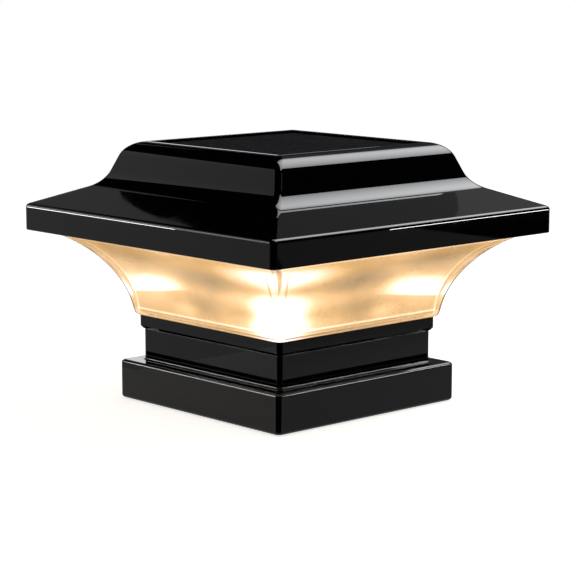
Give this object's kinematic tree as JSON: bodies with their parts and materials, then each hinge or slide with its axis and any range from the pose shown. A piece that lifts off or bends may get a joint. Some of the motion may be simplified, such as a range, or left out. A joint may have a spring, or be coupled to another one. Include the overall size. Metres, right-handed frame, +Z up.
{
  "type": "deck post cap light",
  "caption": "Square solar cap light for a deck post: ogee roof with a recessed panel, flared clear lens, and a stepped base that fits a sleeved or bare post.",
  "frame": {"origin": "centre of the skirt's bottom rim", "axes": "+Z up along the post; the sides of the square plan lie along X and Y"},
  "size_m": [0.175, 0.175, 0.1222],
  "materials": {
    "black_plastic": "high gloss moulded",
    "clear_lens": "clear outside, frosted inside",
    "white_plastic": "satin moulded",
    "rubber": "matte",
    "foam": "closed-cell foam",
    "panel_cover": "finely textured",
    "solar_cell": "dark, smooth",
    "circuit_board": "solder mask",
    "lamp_board": "white solder mask",
    "lamp": "clear resin, lit",
    "electronic_part": "matte",
    "steel": "zinc plated",
    "battery": "plain sleeve",
    "wire_red": "satin insulation",
    "wire_yellow": "satin insulation"
  },
  "bodies": {
    "base": {"base_sleeve": "black_plastic"},
    "head": {"collar_tray": "black_plastic", "lens_gasket": "rubber", "lens": "clear_lens", "rim_gasket": "rubber", "ceiling_plate": "white_plastic", "roof_shell": "black_plastic", "panel_pad": "foam", "panel_board": "circuit_board", "solar_cells": "solar_cell", "panel_cover": "panel_cover", "light_tower": "white_plastic", "led_boards": "lamp_board", "leds": "lamp", "control_board": "circuit_board", "board_parts": "electronic_part", "board_screws": "steel", "battery_holder": "white_plastic", "battery_cell": "battery", "spring_contact": "steel", "plate_contact": "steel", "holder_screws": "steel", "switch_body": "electronic_part", "roof_screws": "steel", "tower_screws": "steel", "tray_screws": "steel", "hinge_pin": "steel", "panel_wires": "wire_red", "led_wires": "wire_yellow", "battery_wires": "wire_red"},
    "door": {"battery_door": "black_plastic", "door_seal": "rubber"},
    "knob": {"switch_knob": "white_plastic"}
  },
  "joints": [
    {"name": "head_lift", "type": "slide", "parent": "base", "child": "head", "axis": [0, 0, 1], "range_m": [0, 0.045]},
    {"name": "door_swing", "type": "hinge", "parent": "head", "child": "door", "pos_m": [0, -0.0226, 0.031], "axis": [-1, 0, 0], "range_deg": [0, 100]},
    {"name": "switch_slide", "type": "slide", "parent": "head", "child": "knob", "axis": [1, 0, 0], "range_m": [0, 0.003]}
  ]
}
